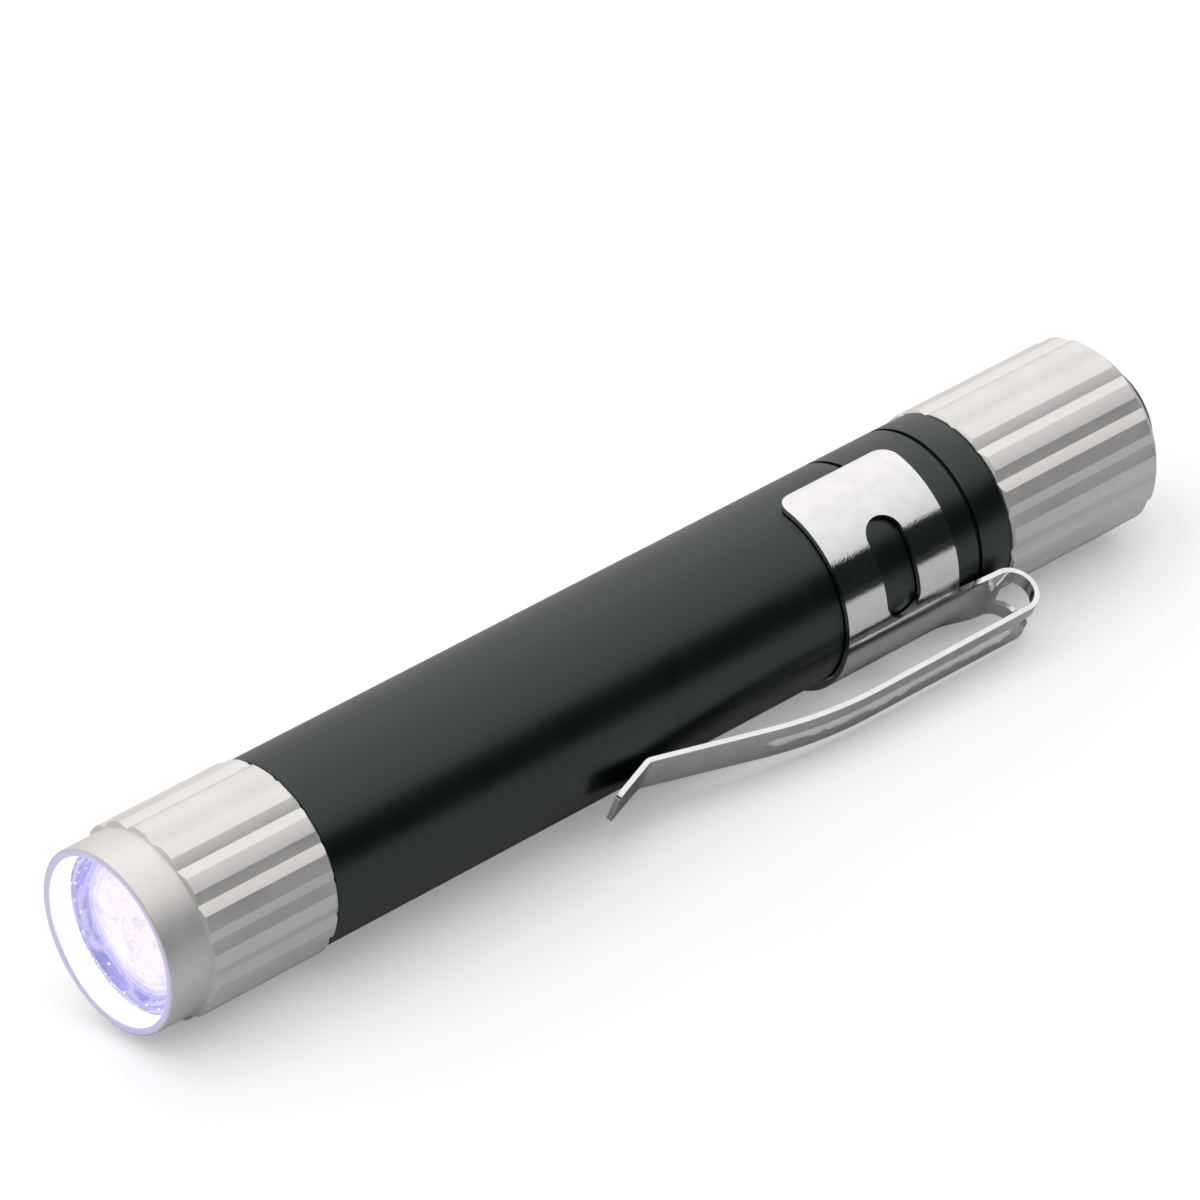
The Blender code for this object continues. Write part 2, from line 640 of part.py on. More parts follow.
def make_clip(materials):
    """Pocket clip: the band round the barrel, and the arm beyond the middle of its turn."""
    path = clip_path()
    lengths = path_lengths(path)
    turn = max(range(len(path)), key=lambda index: path[index].x)
    split = lengths[turn]
    origin = (path[turn].y, 0.0, path[turn].x)
    half_gap = 0.5 * fit_gap
    half_band = band_half_wrap * clip_radius
    half_root = 0.5 * root_width
    lower = half_root + turn_flare
    end = split - half_gap
    slot_start = split - turn_slot_start
    corners = [(-half_band, 0.0), (half_band, 0.0), (half_band, band_length), (lower, band_length),
               (lower, end), (turn_slot_lower, end), (turn_slot_lower, slot_start),
               (turn_slot_upper, slot_start), (turn_slot_upper, end), (-half_root, end),
               (-half_root, band_length), (-half_band, band_length)]
    radii = [band_corner, band_corner, band_corner, lower_fillet, 0.0, 0.0, turn_slot_corner,
             turn_slot_corner, 0.0, 0.0, upper_fillet, band_corner]
    outlines = [rounded(corners, radii, 3, True)]
    for side in (-1.0, 1.0):
        near = side * slot_near * clip_radius
        far = side * slot_far * clip_radius
        low = 0.5 * (band_length - slot_width)
        high = low + slot_width
        slot = [(near, low), (far, low), (far, high), (near, high)]
        outlines.append(rounded(slot, [0.499 * slot_width] * 4, 3, True))
    wrap_bends = int(math.degrees(band_half_wrap) / 6.0)
    bends = [band_half_wrap * step / wrap_bends for step in range(1 - wrap_bends, wrap_bends)]
    bent_strip("clip_band", outlines, (0.0, end), materials["chrome"], (0.0, 0.0, 0.0), bends)
    start = split + half_gap
    finish = lengths[-1]
    half_tip = 0.5 * tip_width
    slot_end = split + turn_slot_end
    corners = [(-half_root, start), (turn_slot_upper, start), (turn_slot_upper, slot_end),
               (turn_slot_narrow, slot_end), (turn_slot_lower, start), (lower, start),
               (half_root, split + flare_run), (half_tip, finish), (-half_tip, finish)]
    radii = [0.0, 0.0, 0.8 * turn_slot_corner, 0.8 * turn_slot_corner, 0.0, 0.0, 0.5 * turn_flare,
             tip_corner, tip_corner]
    outlines = [rounded(corners, radii, 3, True)]
    bent_strip("clip_arm", outlines, (start, finish), materials["chrome"], origin, [])


clear_scene()
parts = make_collection("counterfeit_detector_pen")
cutters = make_collection("cutters")
pen_axis = make_empty("pen_axis", (-0.5 * pen_length, axis_side, rest_height), (0.0, math.radians(90.0), 0.0))
clip_axis = make_empty("clip_axis", (0.0, 0.0, 0.0), (0.0, 0.0, clip_dip - math.radians(90.0)), pen_axis)
finishes = {
    "silver": make_material("silver_anodised_aluminium", (0.72, 0.72, 0.71), 0.38, 1.0),
    "black": make_material("black_anodised_aluminium", (0.028, 0.034, 0.033), 0.42, 0.6),
    "chrome": make_material("bright_spring_steel", (0.80, 0.78, 0.77), 0.14, 1.0),
    "steel": make_material("nickel_plated_steel", (0.62, 0.61, 0.58), 0.30, 1.0),
    "brass": make_material("brass", (0.70, 0.50, 0.22), 0.30, 1.0),
    "mirror": make_material("mirror_coating", (0.86, 0.86, 0.88), 0.08, 1.0),
    "lens": make_material("lens_acrylic", (0.80, 0.78, 0.98), 0.10, 0.0),
    "ring": make_material("violet_lens_ring", (0.38, 0.34, 0.80), 0.30, 0.0),
    "led": make_material("led_silicone", (0.75, 0.70, 1.00), 0.20, 0.0),
    "board": make_material("circuit_board", (0.04, 0.22, 0.09), 0.45, 0.0),
    "ferrite": make_material("ferrite", (0.06, 0.055, 0.05), 0.60, 0.0),
    "black_plastic": make_material("black_plastic", (0.02, 0.02, 0.022), 0.50, 0.0),
    "white_plastic": make_material("white_plastic", (0.80, 0.79, 0.75), 0.45, 0.0),
    "rubber": make_material("black_rubber", (0.018, 0.018, 0.018), 0.62, 0.0),
    "wrap": make_material("battery_wrap", (0.05, 0.12, 0.32), 0.35, 0.0),
}
make_head(finishes)
make_barrel(finishes)
make_cell(finishes)
make_cap(finishes)
make_clip(finishes)
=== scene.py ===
import math

import bmesh
import bpy
from mathutils import Matrix, Vector, noise


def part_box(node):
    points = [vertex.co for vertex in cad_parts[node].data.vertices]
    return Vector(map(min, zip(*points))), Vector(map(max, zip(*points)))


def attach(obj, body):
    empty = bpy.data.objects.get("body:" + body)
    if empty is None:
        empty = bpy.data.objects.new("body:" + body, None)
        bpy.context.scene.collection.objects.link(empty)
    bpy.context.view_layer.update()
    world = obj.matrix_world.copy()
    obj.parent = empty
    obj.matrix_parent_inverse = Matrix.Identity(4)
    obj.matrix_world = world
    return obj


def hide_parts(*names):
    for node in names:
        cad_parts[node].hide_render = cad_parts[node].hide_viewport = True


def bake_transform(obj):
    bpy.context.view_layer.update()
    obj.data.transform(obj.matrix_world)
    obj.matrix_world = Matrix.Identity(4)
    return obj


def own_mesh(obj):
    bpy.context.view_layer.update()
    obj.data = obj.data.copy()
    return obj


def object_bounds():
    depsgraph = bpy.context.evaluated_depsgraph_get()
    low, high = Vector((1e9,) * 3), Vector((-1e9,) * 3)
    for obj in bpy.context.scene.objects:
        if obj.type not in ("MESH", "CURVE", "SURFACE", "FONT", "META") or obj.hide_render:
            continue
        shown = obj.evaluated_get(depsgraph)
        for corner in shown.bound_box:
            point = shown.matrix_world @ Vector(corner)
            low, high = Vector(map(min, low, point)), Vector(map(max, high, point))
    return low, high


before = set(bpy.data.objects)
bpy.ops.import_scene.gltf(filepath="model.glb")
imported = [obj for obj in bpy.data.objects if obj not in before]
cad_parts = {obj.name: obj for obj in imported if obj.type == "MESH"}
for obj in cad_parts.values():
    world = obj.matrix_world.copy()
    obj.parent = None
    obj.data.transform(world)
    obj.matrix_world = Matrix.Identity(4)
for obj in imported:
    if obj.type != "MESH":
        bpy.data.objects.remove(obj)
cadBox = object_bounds()
print("frame loaded")

# The pen's own frame in millimetres: z from the lamp's front rim to the tail button, the axis at x = y = 0
barrelLow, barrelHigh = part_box("barrel")
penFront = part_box("head_shell")[0].x
penMiddle = Vector((penFront, 0.5 * (barrelLow.y + barrelHigh.y), 0.5 * (barrelLow.z + barrelHigh.z)))
penFrame = Matrix.Translation(penMiddle) @ Matrix.Rotation(math.radians(90), 4, 'Y') @ Matrix.Scale(0.001, 4)
clipFrame = penFrame @ Matrix.Rotation(math.radians(29.8 - 90), 4, 'Z')   # x towards the clip's arm


def alongPen(node, end):
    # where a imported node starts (0) or ends (1) along the pen
    return (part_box(node)[end].x - penFront) * 1000


def linearColour(hexText):
    # sRGB hex to the linear values that a shader takes
    values = [int(hexText[i:i + 2], 16) / 255 for i in (1, 3, 5)]
    return [v / 12.92 if v <= 0.04045 else ((v + 0.055) / 1.055) ** 2.4 for v in values] + [1.0]


def addNode(tree, kind, settings=None, links=None, stops=None):
    # settings name the node's own properties, or with a capital or a number its sockets
    node = tree.nodes.new(kind)
    for key, value in (settings or {}).items():
        if isinstance(key, int) or key[0].isupper():
            node.inputs[key].default_value = value
        else:
            setattr(node, key, value)
    for key, socket in (links or {}).items():
        tree.links.new(socket, node.inputs[key])
    for index, (place, colour) in enumerate(stops or []):   # a colour ramp's stops
        element = node.color_ramp.elements[index] if index < 2 else node.color_ramp.elements.new(place)
        element.position = place
        element.color = linearColour(colour) if isinstance(colour, str) else (colour, colour, colour, 1.0)
    return node


def startMaterial(name):
    material = bpy.data.materials.new(name)
    material.use_nodes = True
    material.node_tree.nodes.clear()
    return material, material.node_tree


def endMaterial(tree, shader):
    addNode(tree, "ShaderNodeOutputMaterial", links={"Surface": shader.outputs[0]})


def surfaceMaterial(name, colours, roughness, metallic=0.0, grain=0.12, bump=0.15, depth=0.01, patch=3.0,
                    mottle=0.5, **sockets):
    # a worked surface: colours[0] to colours[1] over patches, roughness[0] to roughness[1] over the same,
    # and a relief of that grain; patch, grain and depth in millimetres
    material, tree = startMaterial(name)
    place = addNode(tree, "ShaderNodeTexCoord").outputs["Object"]
    cloud = addNode(tree, "ShaderNodeTexNoise", {"Scale": 1000 / patch, "Detail": 4.0, "Roughness": mottle},
                    {"Vector": place})
    tint = addNode(tree, "ShaderNodeValToRGB", links={"Fac": cloud.outputs["Fac"]},
                   stops=[(0.3, colours[0]), (0.7, colours[1])])
    gloss = addNode(tree, "ShaderNodeMapRange", {"From Min": 0.3, "From Max": 0.7, "To Min": roughness[0],
                                                 "To Max": roughness[1]}, {"Value": cloud.outputs["Fac"]})
    grit = addNode(tree, "ShaderNodeTexNoise", {"Scale": 1000 / grain, "Detail": 2.0}, {"Vector": place})
    relief = addNode(tree, "ShaderNodeBump", {"Strength": bump, "Distance": depth / 1000},
                     {"Height": grit.outputs["Fac"]})
    shader = addNode(tree, "ShaderNodeBsdfPrincipled", {"Metallic": metallic, **sockets},
                     {"Base Color": tint.outputs["Color"], "Roughness": gloss.outputs["Result"],
                      "Normal": relief.outputs["Normal"]})
    endMaterial(tree, shader)
    return material


# Aluminium, bead blasted and clear anodised: a soft satin grey with a very fine frosted grain
silverAnodised = surfaceMaterial("bead blasted clear anodised aluminium", ("#EAEAE9", "#F0F0EF"),
                                 (0.47, 0.53), metallic=0.82, grain=0.14, bump=0.08, depth=0.02)
# Aluminium, fine brushed and black anodised: the dyed oxide is black glass over metal, with a satin sheen
blackAnodised = surfaceMaterial("satin black anodised aluminium", ("#060D0C", "#091110"), (0.27, 0.32),
                                grain=0.12, bump=0.08, depth=0.02,
                                **{"IOR": 1.68, "Specular Tint": linearColour("#E6F8F5")})
# Spring steel, stamped and bright nickel plated: a mirror over rolled strip, so reflections break up a little
brightNickel = surfaceMaterial("bright nickel plated spring steel", ("#E2E3E4", "#EAEBEC"), (0.05, 0.11),
                               metallic=1.0, grain=0.13, bump=0.24, depth=0.02, patch=1.2)
# Silicone rubber, moulded: black with a low wide sheen
buttonSilicone = surfaceMaterial("moulded silicone rubber", ("#0B0B0B", "#121212"), (0.36, 0.44),
                                 grain=0.2, bump=0.1, depth=0.02, IOR=1.41)
# Nitrile rubber, moulded and lightly greased
sealNitrile = surfaceMaterial("greased nitrile rubber", ("#0C0C0C", "#141414"), (0.25, 0.4), IOR=1.52)
# Music wire, drawn: fine die lines and a grey shine
drawnWire = surfaceMaterial("drawn spring wire", ("#A9A6A0", "#BDBAB4"), (0.22, 0.32), metallic=1.0,
                            grain=0.08)
# Nickel plated steel, deep drawn: the cell's can
drawnCan = surfaceMaterial("deep drawn nickel plated steel", ("#B4B0A8", "#C4C0B9"), (0.2, 0.3), metallic=1.0)
# PVC, shrunk on: a smooth plain blue sleeve
cellSleeve = surfaceMaterial("shrunk PVC sleeve", ("#1B3F78", "#214888"), (0.22, 0.3), IOR=1.53, grain=0.6)
# Brass, turned
turnedBrass = surfaceMaterial("turned brass", ("#C9A05A", "#D6B06C"), (0.2, 0.3), metallic=1.0, grain=0.1)
# Polycarbonate, vacuum metallised: a thin bright mirror
metallisedCup = surfaceMaterial("vacuum metallised polycarbonate", ("#EDEDF2", "#F4F4F8"), (0.05, 0.1),
                                metallic=1.0, grain=0.5, bump=0.05)
# Glass fibre board with green solder mask
solderMask = surfaceMaterial("green solder mask board", ("#134B29", "#1A5A33"), (0.3, 0.45), IOR=1.5,
                             grain=0.3)
# Ferrite, sintered: a dull dark ceramic
sinteredFerrite = surfaceMaterial("sintered ferrite", ("#2B2927", "#363330"), (0.55, 0.7), grain=0.15,
                                  bump=0.3)
# Nylon with glass fibre, injection moulded
mouldedNylon = surfaceMaterial("moulded black nylon", ("#171718", "#1D1D1E"), (0.42, 0.52), IOR=1.53,
                               grain=0.2)
# Acetal, injection moulded: milky white and slightly waxy
mouldedAcetal = surfaceMaterial("moulded white acetal", ("#E2E0D9", "#EAE8E2"), (0.35, 0.45), IOR=1.48)


def litMaterial(name, stops, reach, strength, patchColour, patchShare, sparkle):
    # lit acrylic: the glow's colour runs from the axis outwards, with violet patches, fine rings where the
    # moulded lens bends the light and the sparkle of its pebbles
    material, tree = startMaterial(name)
    place = addNode(tree, "ShaderNodeTexCoord").outputs["Object"]
    centred = addNode(tree, "ShaderNodeMapping", {"vector_type": 'TEXTURE', "Location": penMiddle},
                      {"Vector": place}).outputs[0]
    flat = addNode(tree, "ShaderNodeVectorMath", {"operation": 'MULTIPLY', 1: (0.0, 1.0, 1.0)}, {0: centred})
    radius = addNode(tree, "ShaderNodeVectorMath", {"operation": 'LENGTH'}, {0: flat.outputs[0]})
    streak = addNode(tree, "ShaderNodeTexNoise", {"Scale": 700.0, "Detail": 5.0, "Distortion": 2.0},
                     {"Vector": place})
    wander = addNode(tree, "ShaderNodeMath", {"operation": 'MULTIPLY_ADD', 1: 0.0016, 2: -0.0008},
                     {0: streak.outputs["Fac"]})
    reached = addNode(tree, "ShaderNodeMath", {"operation": 'ADD'}, {0: radius.outputs["Value"],
                                                                   1: wander.outputs[0]})
    share = addNode(tree, "ShaderNodeMapRange", {"From Max": reach / 1000}, {"Value": reached.outputs[0]})
    glow = addNode(tree, "ShaderNodeValToRGB", links={"Fac": share.outputs["Result"]}, stops=stops)
    cloud = addNode(tree, "ShaderNodeTexNoise", {"Scale": 260.0, "Detail": 7.0, "Roughness": 0.7,
                                                 "Distortion": 1.2}, {"Vector": place})
    patches = addNode(tree, "ShaderNodeMapRange", {"From Min": 0.47, "From Max": 0.62, "To Max": patchShare},
                      {"Value": cloud.outputs["Fac"]})
    tinted = addNode(tree, "ShaderNodeMix", {"data_type": 'RGBA', 7: linearColour(patchColour)},
                     {0: patches.outputs["Result"], 6: glow.outputs["Color"]})
    rings = addNode(tree, "ShaderNodeTexWave", {"wave_type": 'RINGS', "rings_direction": 'X', "Scale": 620.0,
                                                "Distortion": 7.0, "Detail": 3.0, "Detail Scale": 0.5},
                    {"Vector": centred})
    lines = addNode(tree, "ShaderNodeMapRange", {"From Min": 0.72, "From Max": 1.0, "To Max": 0.35},
                    {"Value": rings.outputs["Fac"]})
    lined = addNode(tree, "ShaderNodeMix", {"data_type": 'RGBA', 7: linearColour("#FFFDFF")},
                    {0: lines.outputs["Result"], 6: tinted.outputs[2]})
    pebble = addNode(tree, "ShaderNodeTexVoronoi", {"Scale": 2300.0}, {"Vector": place})
    pick = addNode(tree, "ShaderNodeSeparateColor", links={0: pebble.outputs["Color"]})
    spread = addNode(tree, "ShaderNodeMath", {"operation": 'MULTIPLY', 1: sparkle}, {0: pick.outputs[0]})
    spark = addNode(tree, "ShaderNodeMath", {"operation": 'LESS_THAN'}, {0: pebble.outputs["Distance"],
                                                                       1: spread.outputs[0]})
    lit = addNode(tree, "ShaderNodeMix", {"data_type": 'RGBA', 7: (1.0, 1.0, 1.0, 1.0)},
                  {0: spark.outputs[0], 6: lined.outputs[2]})
    shader = addNode(tree, "ShaderNodeBsdfPrincipled",
                     {"Roughness": 0.15, "IOR": 1.49, "Base Color": linearColour("#3B3757"),
                      "Emission Strength": strength}, {"Emission Color": lit.outputs[2]})
    endMaterial(tree, shader)
    return material


# Acrylic lens, pebble moulded, over the lit lamp: nearly white in the middle and violet towards its edge
litLens = litMaterial("lit pebbled acrylic lens", [(0.0, "#FBF0FC"), (0.6, "#F7EEFC"), (0.8, "#DDD4F7"),
                                                  (0.95, "#A9A3E2")], 5.6, 0.97, "#BDB9EC", 0.75, 0.26)
# Clear acrylic ring that carries the glow round the lens
litRing = litMaterial("lit acrylic ring", [(0.0, "#A29DDF"), (0.88, "#A9A4E4"), (0.94, "#C2BCF4"),
                                           (1.0, "#8E8AD2")], 6.1, 0.9, "#8A88C6", 0.7, 0.3)


def paintedGlowMaterial(name, colours, roughness, strength):
    # anodised aluminium with the lamp's light on it painted in as a glow: the painted glow's colour over how
    # deep it lies behind the rim
    material, tree = startMaterial(name)
    place = addNode(tree, "ShaderNodeTexCoord").outputs["Object"]
    along = addNode(tree, "ShaderNodeSeparateXYZ", links={0: place}).outputs["X"]
    grit = addNode(tree, "ShaderNodeTexNoise", {"Scale": 3000.0, "Detail": 3.0}, {"Vector": place})
    rough = addNode(tree, "ShaderNodeMath", {"operation": 'MULTIPLY_ADD', 1: 0.0003}, {0: grit.outputs["Fac"],
                                                                                     2: along})
    deep = addNode(tree, "ShaderNodeMapRange", {"From Min": penFront, "From Max": penFront + 0.0009},
                   {"Value": rough.outputs[0]})
    # painted lamp light: the metal itself emits this colour
    paintedFlood = addNode(tree, "ShaderNodeValToRGB", links={"Fac": deep.outputs["Result"]},
                    stops=[(0.15, colours[0]), (0.8, colours[1])])
    shader = addNode(tree, "ShaderNodeBsdfPrincipled",
                     {"Metallic": 1.0, "Roughness": roughness, "Base Color": linearColour("#D9D8E4"),
                      "Emission Strength": strength}, {"Emission Color": paintedFlood.outputs["Color"]})
    endMaterial(tree, shader)
    return material


# Anodised aluminium in the front bore and on the rim, with the lamp's light on them painted in as a glow,
# weaker on the rim
paintedGlowBore = paintedGlowMaterial("lamp lit anodised bore", ("#B4AEEA", "#FFFDFF"), 0.35, 0.92)
paintedGlowRim = paintedGlowMaterial("lamp lit anodised rim", ("#A79FDA", "#A79FDA"), 0.42, 0.5)
print("materials made")


def turnedProfile(corners, rounding=None):
    # a closed run of (radius, place) corners in the x-z plane, some rounded: {radius of rounding: corners}
    shape = bmesh.new()
    points = [shape.verts.new((radius, 0.0, place)) for radius, place in corners]
    for pair in zip(points, points[1:]):
        shape.edges.new(pair)
    if corners[0][0] > 0.0:
        shape.edges.new((points[-1], points[0]))
    for size, picks in (rounding or {}).items():
        bmesh.ops.bevel(shape, geom=[points[i] for i in picks], offset=size, offset_type='OFFSET', segments=6,
                        profile=0.5, affect='VERTICES', material=-1, clamp_overlap=False)
    return shape


def refineProfile(shape, low, high, cuts):
    # more rows between two places on a profile's outer line, for what is cut into it
    span = 0.8 * (high - low)   # the edge sought is the one that covers most of the way
    found = [edge for edge in shape.edges if edge.calc_length() > span
             and all(low - 1e-4 <= v.co.z <= high + 1e-4 for v in edge.verts)]
    outer = max(found, key=lambda edge: edge.verts[0].co.x)
    bmesh.ops.subdivide_edges(shape, edges=[outer], cuts=cuts)


def spinProfile(shape, steps):
    # the profile turned round the pen's axis
    bmesh.ops.spin(shape, geom=shape.verts[:] + shape.edges[:], cent=(0, 0, 0), axis=(0, 0, 1),
                   dvec=(0, 0, 0), angle=math.radians(360), steps=steps, use_merge=True,
                   use_normal_flip=False, use_duplicate=False)
    bmesh.ops.remove_doubles(shape, verts=shape.verts, dist=1e-5)
    bmesh.ops.recalc_face_normals(shape, faces=shape.faces)


def finishPiece(shape, name, place, materials, creaseAngle):
    # the mesh in its place in the row frame, smooth up to the crease angle
    bmesh.ops.transform(shape, matrix=place, verts=shape.verts)
    mesh = bpy.data.meshes.new(name)
    for face in shape.faces:
        face.smooth = True
    shape.to_mesh(mesh)
    shape.free()
    for material in materials:
        mesh.materials.append(material)
    mesh.set_sharp_from_angle(angle=math.radians(creaseAngle))
    piece = bpy.data.objects.new(name, mesh)
    bpy.context.scene.collection.objects.link(piece)
    return piece


def cutFlutes(shape, flutes, start, chamfers, turned=0.0):
    # V flutes by moving the spun points inwards; on a chamfer's top edge a point slides down the chamfer
    pitch = math.radians(360) / flutes["count"]
    for point in shape.verts:
        radius = math.hypot(point.co.x, point.co.y)
        if radius < flutes["floor"] or point.co.z < start:
            continue
        around = math.atan2(point.co.y, point.co.x) - math.radians(turned)
        share = abs(around % pitch - 0.5 * pitch) / (flutes["halfShare"] * pitch)
        limit = flutes["floor"] + (flutes["crest"] - flutes["floor"]) * min(share, 1.0)
        if radius <= limit:
            continue
        for topPlace, lowRadius, lowPlace in chamfers:
            if abs(point.co.z - topPlace) < 1e-3:
                point.co.z += (lowPlace - topPlace) * min(1.0, (radius - limit) / (radius - lowRadius))
        point.co.x *= limit / radius
        point.co.y *= limit / radius


def cutThread(shape, thread, low, high):
    # a rolled thread's turns as a wave along the neck, fading out at both ends
    for point in shape.verts:
        radius = math.hypot(point.co.x, point.co.y)
        if abs(radius - thread["radius"]) > 1e-3 or not low < point.co.z < high:
            continue
        turn = point.co.z / thread["pitch"] - math.atan2(point.co.y, point.co.x) / math.radians(360)
        fade = min(1.0, (point.co.z - low) / thread["runOut"], (high - point.co.z) / thread["runOut"])
        moved = radius - thread["depth"] * fade * (0.5 - 0.5 * math.cos(math.radians(360) * turn))
        point.co.x *= moved / radius
        point.co.y *= moved / radius


flutes = {"count": 16, "crest": 7.2, "floor": 6.9, "halfShare": 9 / 30}   # 30 spun steps to a flute
thread = {"radius": 6.2, "pitch": 0.75, "depth": 0.32, "runOut": 0.4}

lampHead = {"length": alongPen("head_shell", 1), "ringRadius": 6.8, "ringLength": 3.4, "fluteStart": 3.52,
            "fluteTurn": 2.25, "bore": 6.15, "boreDepth": 3.85, "cupBore": 5.6, "boardSeat": 8.4,
            "threadBore": 6.3, "rimRound": 0.16, "endBreak": 0.17}


def makeLampHead(p):
    end = p["length"]
    crest, low = flutes["crest"], flutes["crest"] - p["endBreak"]
    corners = [(p["threadBore"], end), (low, end), (crest, end - p["endBreak"]), (crest, p["fluteStart"]),
               (p["ringRadius"], p["ringLength"]), (p["ringRadius"], 0.0), (p["bore"], 0.0),
               (p["bore"], p["boreDepth"]), (p["cupBore"], p["boreDepth"]), (p["cupBore"], p["boardSeat"]),
               (p["threadBore"], p["boardSeat"])]
    shape = turnedProfile(corners, {p["rimRound"]: (5, 6)})
    spinProfile(shape, 480)
    cutFlutes(shape, flutes, p["ringLength"] - 0.01,
              [(p["fluteStart"], p["ringRadius"], p["ringLength"]), (end - p["endBreak"], low, end)],
              p["fluteTurn"])
    for face in shape.faces:   # the bore in front of the lens gets the painted lamp glow, and the rim a weaker painted glow
        middle = face.calc_center_median()
        reach = math.hypot(middle.x, middle.y)
        if reach < p["bore"] + 0.05 and middle.z < p["boreDepth"]:
            face.material_index = 1
        elif reach < p["bore"] + 0.5 and middle.z < 0.06:
            face.material_index = 2
    piece = finishPiece(shape, "lampHead", penFrame, [silverAnodised, paintedGlowBore, paintedGlowRim], 13)
    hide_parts("head_shell")
    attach(piece, "pen")


barrelTube = {"radius": 7.0, "neck": 6.2, "bore": 5.4, "front": 14.1, "back": 76.1, "grooves": (67.0, 73.1),
              "grooveWidth": 0.35, "grooveDepth": 0.25, "edgeBreak": 0.14, "neckChamfer": 0.12,
              "sealPlace": 0.9, "sealWire": 0.42}


def grooveCorners(radius, floor, middle, half):
    # a turned groove's corners in a profile that runs towards the front
    return [(radius, middle + half), (floor, middle + half), (floor, middle - half), (radius, middle - half)]


def makeBarrel(p):
    start, end = alongPen("barrel", 0), alongPen("barrel", 1)
    sealHalf, sealFloor, chamfer = 0.5 * p["sealWire"] + 0.1, p["neck"] - p["sealWire"], p["neckChamfer"]
    corners = [(p["bore"], end), (p["neck"] - chamfer, end), (p["neck"], end - chamfer)]
    corners += grooveCorners(p["neck"], sealFloor, p["back"] + p["sealPlace"], sealHalf)
    corners += [(p["neck"], p["back"]), (p["radius"], p["back"])]
    rounded = [len(corners) - 1]
    for middle in reversed(p["grooves"]):
        corners += grooveCorners(p["radius"], p["radius"] - p["grooveDepth"], middle, 0.5 * p["grooveWidth"])
    corners += [(p["radius"], p["front"])]
    rounded += [len(corners) - 1]
    corners += [(p["neck"], p["front"])]
    corners += grooveCorners(p["neck"], sealFloor, p["front"] - p["sealPlace"], sealHalf)
    corners += [(p["neck"], start + chamfer), (p["neck"] - chamfer, start), (p["bore"], start)]
    shape = turnedProfile(corners, {p["edgeBreak"]: rounded})
    necks = ((start + chamfer, p["front"] - p["sealPlace"] - sealHalf, 40),
             (p["back"] + p["sealPlace"] + sealHalf, end - chamfer, 50))
    for low, high, rows in necks:
        refineProfile(shape, low, high, rows)
    spinProfile(shape, 144)
    for low, high, rows in necks:
        cutThread(shape, thread, low, high)
    piece = finishPiece(shape, "barrelTube", penFrame, [blackAnodised], 26)
    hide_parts("barrel")
    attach(piece, "pen")


def makeSeal(name, node, place, p):
    # an O-ring: a small circle turned round the axis
    shape = bmesh.new()
    bmesh.ops.create_circle(shape, segments=16, radius=0.5 * p["sealWire"])
    bmesh.ops.rotate(shape, verts=shape.verts, matrix=Matrix.Rotation(math.radians(90), 3, 'X'))
    bmesh.ops.translate(shape, verts=shape.verts, vec=(p["neck"] - 0.5 * p["sealWire"] + 0.05, 0, place))
    spinProfile(shape, 96)
    piece = finishPiece(shape, name, penFrame, [sealNitrile], 60)
    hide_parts(node)
    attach(piece, "pen")


tailCap = {"chamfer": 0.9, "endBreak": 0.17, "hole": 5.1, "endWall": 1.2, "threadBore": 6.3,
           "threadLength": 6.2, "switchBore": 6.0, "holeBreak": 0.12, "rearRound": 0.25}


def makeTailCap(p):
    start, end = alongPen("tail_cap", 0), alongPen("tail_cap", 1)
    crest, low, frontLow = flutes["crest"], flutes["crest"] - p["chamfer"], flutes["crest"] - p["endBreak"]
    corners = [(p["hole"], end), (low, end), (crest, end - p["chamfer"]), (crest, start + p["endBreak"]),
               (frontLow, start),
               (p["threadBore"], start), (p["threadBore"], start + p["threadLength"]),
               (p["switchBore"], start + p["threadLength"]), (p["switchBore"], end - p["endWall"]),
               (p["hole"], end - p["endWall"])]
    shape = turnedProfile(corners, {p["holeBreak"]: (0,), p["rearRound"]: (1,)})
    spinProfile(shape, 480)
    cutFlutes(shape, flutes, start - 0.01,
              [(end - p["chamfer"], low, end), (start + p["endBreak"], frontLow, start)])
    piece = finishPiece(shape, "tailCap", penFrame, [silverAnodised], 13)
    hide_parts("tail_cap")
    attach(piece, "cap")


tailButton = {"flange": 5.9, "flangeHeight": 0.7, "dome": 5.0, "edge": 0.35, "bendStart": 89.95,
              "bendEnd": 94.1}


def makeTailButton(p):
    # one rubber boot: its flange is held in the cap, then its wall and its dome
    start, end, capEnd = alongPen("button_boot", 0), alongPen("button_boot", 1), alongPen("tail_cap", 1)
    shape = bmesh.new()
    bmesh.ops.create_circle(shape, segments=128, radius=p["dome"])
    bmesh.ops.rotate(shape, verts=shape.verts, matrix=Matrix.Rotation(math.radians(90), 3, 'X'))
    for side in ((1, 0, 0), (0, 0, 1)):   # a quarter of the circle is the dome's profile
        bmesh.ops.bisect_plane(shape, geom=shape.verts[:] + shape.edges[:], dist=1e-4, plane_co=(0, 0, 0),
                               plane_no=side, clear_inner=True)
    bmesh.ops.scale(shape, verts=shape.verts, vec=(1, 1, (end - capEnd - p["edge"]) / p["dome"]))
    bmesh.ops.translate(shape, verts=shape.verts, vec=(0, 0, capEnd + p["edge"]))
    last = max(shape.verts, key=lambda point: point.co.x)
    flangeTop = start + p["flangeHeight"]
    for place in ((p["dome"], flangeTop), (p["flange"], flangeTop), (p["flange"], start), (0.0, start)):
        point = shape.verts.new((place[0], 0.0, place[1]))
        edge = shape.edges.new((last, point))
        if place == (p["dome"], flangeTop):
            wall = edge
        last = point
    bmesh.ops.subdivide_edges(shape, edges=[wall], cuts=10)
    spinProfile(shape, 128)
    piece = finishPiece(shape, "tailButton", penFrame, [buttonSilicone], 40)
    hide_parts("button_boot")
    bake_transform(piece)


